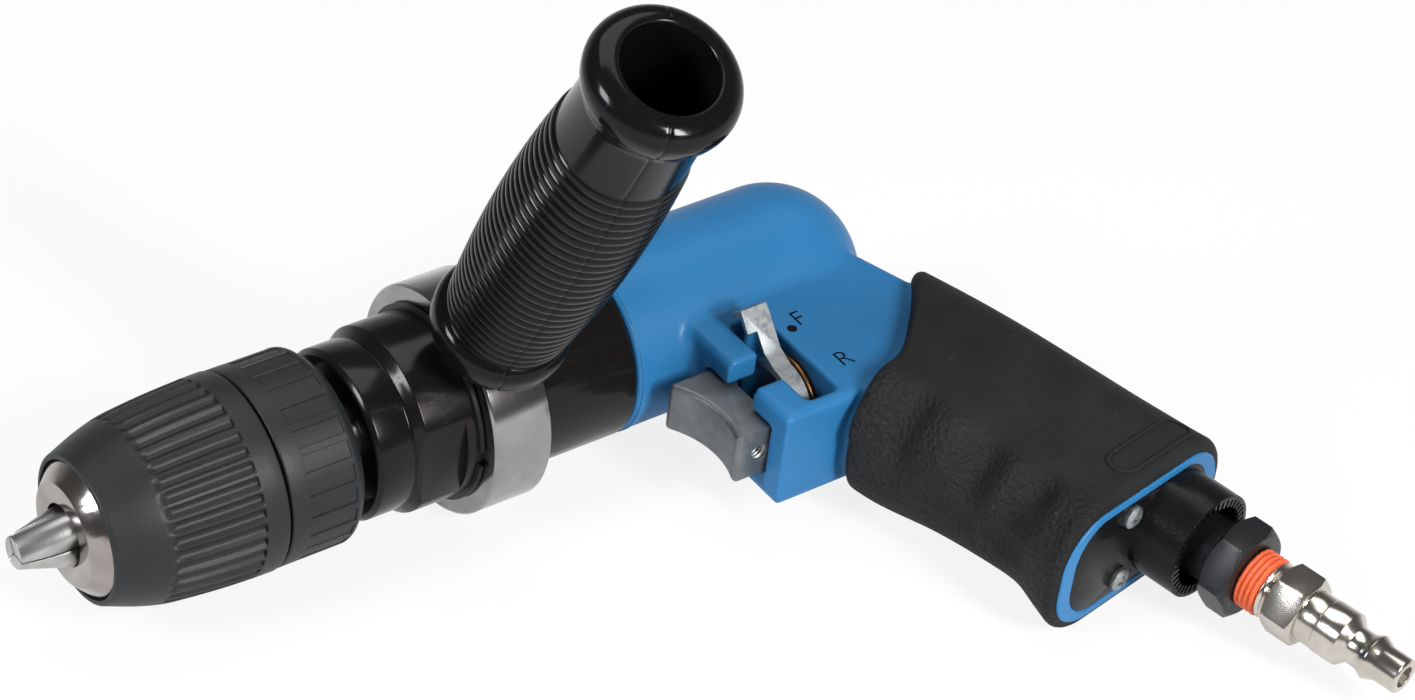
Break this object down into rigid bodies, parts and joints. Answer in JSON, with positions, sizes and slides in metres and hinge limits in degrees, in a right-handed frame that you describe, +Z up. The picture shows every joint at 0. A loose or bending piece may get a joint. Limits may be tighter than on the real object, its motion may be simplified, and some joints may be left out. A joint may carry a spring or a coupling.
{
  "type": "pneumatic drill",
  "caption": "Pistol-grip reversible air drill with a keyless chuck, a screw-in side handle, a rubber grip and a quick-connect air plug, lying on its side.",
  "frame": {"origin": "centre of the chuck's nose face, on the spindle axis", "axes": "+X along the spindle from the chuck to the domed back end; +Z up with the tool lying on its side on the handle ring and the grip; the grip runs towards -Y"},
  "size_m": [0.2301, 0.1936, 0.1467],
  "materials": {
    "blue_paint": "semi-gloss enamel on a casting",
    "grip_rubber": "matte with a fine grain",
    "case_black": "gloss black",
    "ring_steel": "satin turned",
    "handle_plastic": "glossy moulded",
    "chuck_plastic": "matte charcoal",
    "chuck_plate": "polished plate",
    "jaw_steel": "satin ground",
    "zinc_plate": "bright zinc",
    "cast_zinc": "satin die-cast",
    "bronze": "turned bronze",
    "plug_nickel": "nickel plate",
    "sealant": "dry thread sealant",
    "black_oxide": "black oxide",
    "cover_plastic": "satin moulded",
    "felt": "pressed felt",
    "vane_board": "cloth laminate",
    "motor_iron": "ground",
    "inner_steel": "ground and oiled"
  },
  "bodies": {
    "housing": {"motor_housing": "blue_paint", "grip_sleeve": "grip_rubber", "gear_case": "case_black", "handle_snap_ring": "black_oxide", "dust_seal": "felt", "front_spindle_bearing": "inner_steel", "rear_spindle_bearing": "inner_steel", "bearing_spacer": "motor_iron", "ring_gear": "inner_steel", "gear_spacer": "motor_iron", "motor_cylinder": "motor_iron", "front_end_plate": "motor_iron", "rear_end_plate": "motor_iron", "front_rotor_bearing": "inner_steel", "rear_rotor_bearing": "inner_steel", "throttle_spring": "inner_steel", "spring_seat": "inner_steel", "thrust_bush": "bronze", "exhaust_cover": "cover_plastic", "cover_screws": "zinc_plate", "muffler": "felt", "inlet_bushing": "black_oxide", "inlet_screen": "zinc_plate", "air_plug": "plug_nickel", "thread_sealant": "sealant"},
    "chuck": {"chuck_body": "chuck_plate", "rear_sleeve": "chuck_plastic", "chuck_screw": "black_oxide", "spindle": "inner_steel", "planet_pins": "inner_steel", "front_spindle_inner_race": "inner_steel", "rear_spindle_inner_race": "inner_steel"},
    "chuck_sleeve": {"front_sleeve": "chuck_plastic", "chuck_nut": "inner_steel"},
    "jaw_1": {"jaw_1": "jaw_steel"},
    "jaw_2": {"jaw_2": "jaw_steel"},
    "jaw_3": {"jaw_3": "jaw_steel"},
    "planet_1": {"planet_gear_1": "inner_steel"},
    "planet_2": {"planet_gear_2": "inner_steel"},
    "planet_3": {"planet_gear_3": "inner_steel"},
    "rotor": {"rotor": "inner_steel", "rotor_vanes": "vane_board", "front_rotor_inner_race": "inner_steel", "rear_rotor_inner_race": "inner_steel"},
    "trigger": {"trigger": "cast_zinc", "throttle_stem": "inner_steel"},
    "reverser": {"reverse_lever": "zinc_plate", "reverse_valve": "inner_steel"},
    "handle_ring": {"handle_ring": "ring_steel"},
    "handle_washer": {"handle_washer": "zinc_plate"},
    "side_handle": {"handle_grip": "handle_plastic", "handle_stud": "zinc_plate"}
  },
  "joints": [
    {"name": "chuck_spin", "type": "hinge", "parent": "housing", "child": "chuck", "pos_m": [0, 0, 0], "axis": [1, 0, 0], "continuous": true},
    {"name": "rotor_spin", "type": "hinge", "parent": "housing", "child": "rotor", "pos_m": [0, 0, 0], "axis": [1, 0, 0], "continuous": true},
    {"name": "planet_1_spin", "type": "hinge", "parent": "chuck", "child": "planet_1", "pos_m": [0.11, -0.0007, 0.00875], "axis": [1, 0, 0], "continuous": true},
    {"name": "planet_2_spin", "type": "hinge", "parent": "chuck", "child": "planet_2", "pos_m": [0.11, -0.00723, -0.00498], "axis": [1, 0, 0], "continuous": true},
    {"name": "planet_3_spin", "type": "hinge", "parent": "chuck", "child": "planet_3", "pos_m": [0.11, 0.00792, -0.00377], "axis": [1, 0, 0], "continuous": true},
    {"name": "chuck_sleeve_turn", "type": "hinge", "parent": "chuck", "child": "chuck_sleeve", "pos_m": [0, 0, 0], "axis": [1, 0, 0], "range_deg": [0, 4320]},
    {"name": "jaw_1_slide", "type": "slide", "parent": "chuck", "child": "jaw_1", "axis": [0.9563, 0.2915, 0.0232], "range_m": [0, 0.0216]},
    {"name": "jaw_2_slide", "type": "slide", "parent": "chuck", "child": "jaw_2", "axis": [0.9563, -0.1658, 0.2408], "range_m": [0, 0.0216]},
    {"name": "jaw_3_slide", "type": "slide", "parent": "chuck", "child": "jaw_3", "axis": [0.9563, -0.1256, -0.264], "range_m": [0, 0.0216]},
    {"name": "trigger_pull", "type": "slide", "parent": "housing", "child": "trigger", "axis": [1, 0, 0], "range_m": [0, 0.006], "stiffness_N_per_m": 900, "springref_m": -0.005, "deforming": ["throttle_spring"]},
    {"name": "reverse_turn", "type": "hinge", "parent": "housing", "child": "reverser", "pos_m": [0.1515, -0.03589, -0.00286], "axis": [1, 0, 0], "range_deg": [0, 54]},
    {"name": "handle_swing", "type": "hinge", "parent": "housing", "child": "handle_ring", "pos_m": [0.0936, 0, 0], "axis": [1, 0, 0], "continuous": true},
    {"name": "handle_lift", "type": "slide", "parent": "handle_ring", "child": "handle_washer", "axis": [0, -0.5038, 0.8638], "range_m": [0, 0.005]},
    {"name": "handle_unscrew", "type": "hinge", "parent": "handle_washer", "child": "side_handle", "pos_m": [0.0936, -0.01335, 0.02289], "axis": [0, -0.5038, 0.8638], "range_deg": [0, 1440]}
  ],
  "couplings": [
    {"joint": "rotor_spin", "follows": "chuck_spin", "ratio": 4.5},
    {"joint": "planet_1_spin", "follows": "chuck_spin", "ratio": -2.8},
    {"joint": "planet_2_spin", "follows": "chuck_spin", "ratio": -2.8},
    {"joint": "planet_3_spin", "follows": "chuck_spin", "ratio": -2.8},
    {"joint": "jaw_1_slide", "follows": "chuck_sleeve_turn", "m_per_rad": 0.00028648},
    {"joint": "jaw_2_slide", "follows": "chuck_sleeve_turn", "m_per_rad": 0.00028648},
    {"joint": "jaw_3_slide", "follows": "chuck_sleeve_turn", "m_per_rad": 0.00028648},
    {"joint": "handle_unscrew", "follows": "handle_lift", "rad_per_m": 5026.5}
  ]
}
